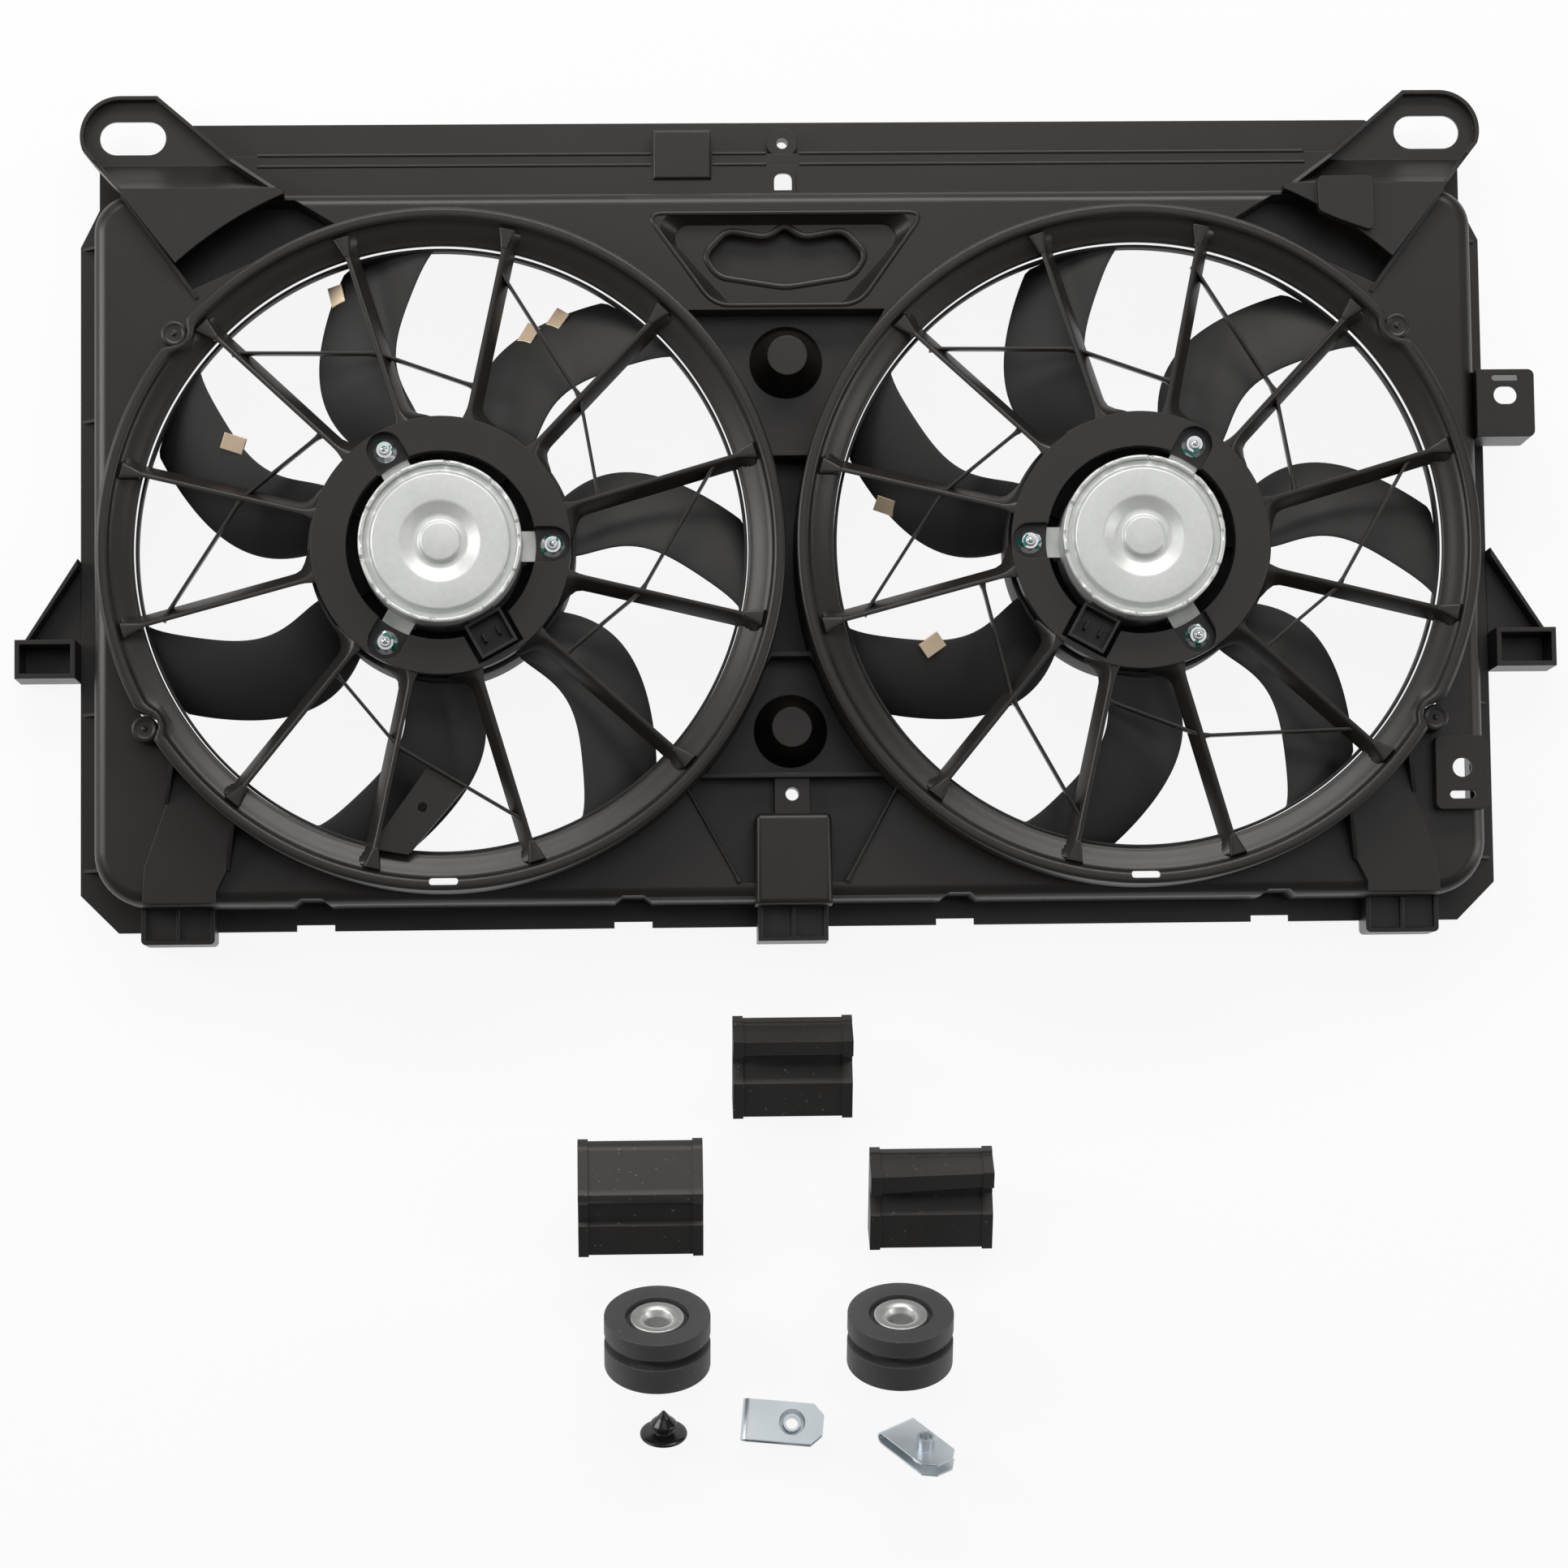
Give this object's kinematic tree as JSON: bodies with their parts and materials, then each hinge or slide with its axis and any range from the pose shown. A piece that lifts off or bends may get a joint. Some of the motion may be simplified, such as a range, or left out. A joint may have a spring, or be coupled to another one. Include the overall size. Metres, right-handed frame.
{
  "type": "radiator fan shroud",
  "caption": "Black twin radiator fan shroud with ringed stators, swept blades on sealed motors, slotted corner ears and a loose fitting kit.",
  "frame": {"origin": "middle between the two fan axes, on the plane of the flange that seats on the radiator", "axes": "+X from the left fan to the right fan as seen from the engine side, +Y up to the slotted ears, +Z away from the radiator towards the engine, along the fan shafts"},
  "size_m": [0.9732, 0.8755, 0.118],
  "materials": {
    "moulding": "fine satin mould texture",
    "fan_plastic": "smooth satin",
    "clip_steel": "yellowish plated sheet",
    "shaft_steel": "ground",
    "nut_steel": "zinc plated",
    "can_steel": "galvanised, dull",
    "core_steel": "stacked laminations",
    "copper": "enamelled copper",
    "bearing_bronze": "sintered bronze",
    "magnet": "ferrite",
    "card_plastic": "satin",
    "carbon": "matt",
    "plug_plastic": "satin",
    "pad_rubber": "satin moulded rubber",
    "bush_rubber": "matt turned rubber",
    "sleeve_metal": "drawn",
    "plug_gloss": "polished",
    "spring_steel": "zinc plated spring steel"
  },
  "bodies": {
    "shroud": {"bearings_left": "bearing_bronze", "bearings_right": "bearing_bronze", "bracket_lower": "moulding", "bracket_upper": "moulding", "brush_card_left": "card_plastic", "brush_card_right": "card_plastic", "brushes_left": "carbon", "brushes_right": "carbon", "bush_rubber_left": "bush_rubber", "bush_rubber_right": "bush_rubber", "bush_sleeve_left": "sleeve_metal", "bush_sleeve_right": "sleeve_metal", "clip_nuts": "spring_steel", "connector_left": "plug_plastic", "connector_right": "plug_plastic", "ear_left": "moulding", "ear_right": "moulding", "flange_nuts_left": "nut_steel", "flange_nuts_right": "nut_steel", "foot_centre": "moulding", "foot_left": "moulding", "foot_right": "moulding", "harness_tab": "moulding", "magnets_left": "magnet", "magnets_right": "magnet", "motor_brackets_left": "can_steel", "motor_brackets_right": "can_steel", "motor_can_left": "can_steel", "motor_can_right": "can_steel", "motor_end_cap_left": "can_steel", "motor_end_cap_right": "can_steel", "pad_hook": "pad_rubber", "pad_slant": "pad_rubber", "pad_step": "pad_rubber", "push_plug": "plug_gloss", "ring_left": "moulding", "ring_right": "moulding", "shroud_shell": "moulding", "side_tab_left": "moulding", "side_tab_right": "moulding", "stator_hub_left": "moulding", "stator_hub_right": "moulding", "stator_stays_left": "moulding", "stator_stays_right": "moulding", "stator_vanes_left": "moulding", "stator_vanes_right": "moulding"},
    "fan_left": {"fan_left": "fan_plastic", "balance_clips_left": "clip_steel", "shaft_left": "shaft_steel", "fan_nut_left": "nut_steel", "armature_left": "core_steel", "windings_left": "copper", "commutator_left": "copper"},
    "fan_right": {"fan_right": "fan_plastic", "balance_clips_right": "clip_steel", "shaft_right": "shaft_steel", "fan_nut_right": "nut_steel", "armature_right": "core_steel", "windings_right": "copper", "commutator_right": "copper"}
  },
  "joints": [
    {"name": "fan_left_spin", "type": "hinge", "parent": "shroud", "child": "fan_left", "pos_m": [-0.21675, 0, 0.08], "axis": [0, 0, 1], "continuous": true},
    {"name": "fan_right_spin", "type": "hinge", "parent": "shroud", "child": "fan_right", "pos_m": [0.21675, 0, 0.08], "axis": [0, 0, 1], "continuous": true}
  ]
}
